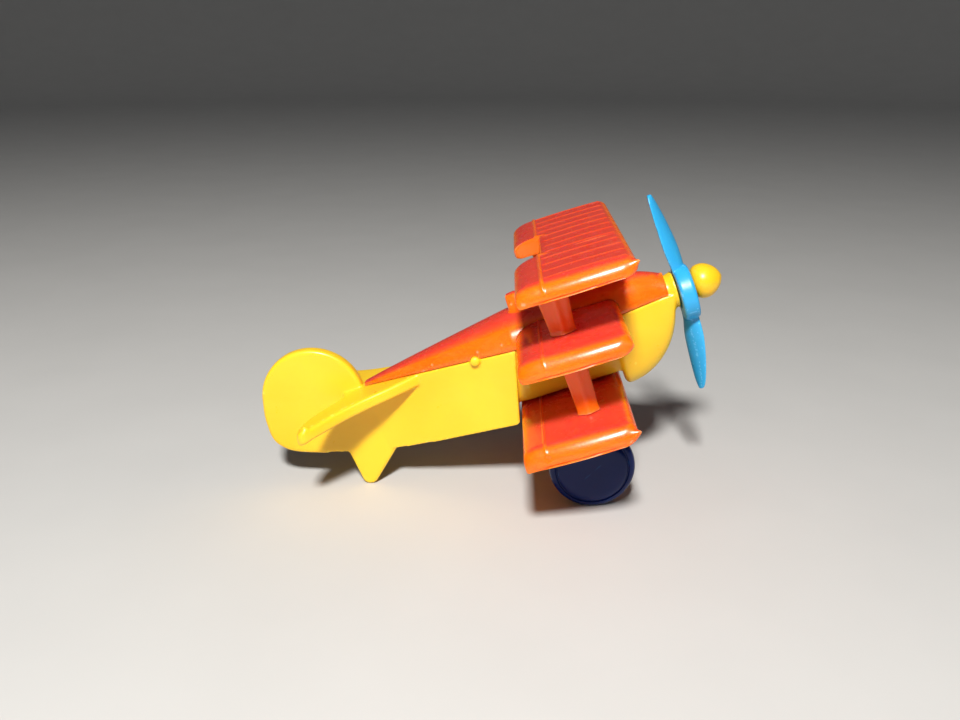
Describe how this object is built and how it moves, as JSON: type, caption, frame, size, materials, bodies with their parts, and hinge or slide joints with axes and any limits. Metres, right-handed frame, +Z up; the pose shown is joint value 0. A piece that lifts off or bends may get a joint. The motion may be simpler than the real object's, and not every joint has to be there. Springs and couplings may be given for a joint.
{
  "type": "toy airplane",
  "caption": "Small snap-together plastic toy triplane with stacked wings, round rudder, spinning propeller on a headed pin, and rolling wheels; stands nose-up on wheels and skid.",
  "frame": {"origin": "on the ground plane, below the centre of the whole aircraft's bounding box, as it stands on its wheels and tail skid", "axes": "+X forward along the ground (tail to nose), +Y to the aircraft's left wing tip, +Z up; the propeller shaft points up and forward by about 18.6 degrees"},
  "size_m": [0.0526, 0.0324, 0.035],
  "materials": {
    "yellow_plastic": "glossy moulded yellow plastic with soft edges, faint flow marks and small sprue marks",
    "orange_plastic": "glossy, slightly translucent orange-red plastic, brighter orange at thin edges, with thin mould flash",
    "blue_plastic": "glossy sky-blue plastic",
    "navy_plastic": "glossy dark navy-blue plastic",
    "pin_plastic": "glossy moulded yellow plastic"
  },
  "bodies": {
    "airframe": {"lower_fuselage": "yellow_plastic", "upper_deck": "orange_plastic", "top_wing": "orange_plastic", "middle_wing": "orange_plastic", "lower_wing": "orange_plastic", "upper_strut_left": "orange_plastic", "upper_strut_right": "orange_plastic", "lower_strut_left": "orange_plastic", "lower_strut_right": "orange_plastic", "undercarriage_leg_left": "orange_plastic", "undercarriage_leg_right": "orange_plastic", "propeller_pin": "pin_plastic"},
    "propeller": {"propeller": "blue_plastic"},
    "wheelset": {"axle": "navy_plastic", "wheel_left": "navy_plastic", "wheel_right": "navy_plastic"}
  },
  "joints": [
    {"name": "propeller_spin", "type": "hinge", "parent": "airframe", "child": "propeller", "pos_m": [0.02243, 0, 0.02417], "axis": [0.9478, 0, 0.3189], "continuous": true},
    {"name": "wheelset_roll", "type": "hinge", "parent": "airframe", "child": "wheelset", "pos_m": [0.01235, 0, 0.0049], "axis": [0, 1, 0], "continuous": true}
  ]
}
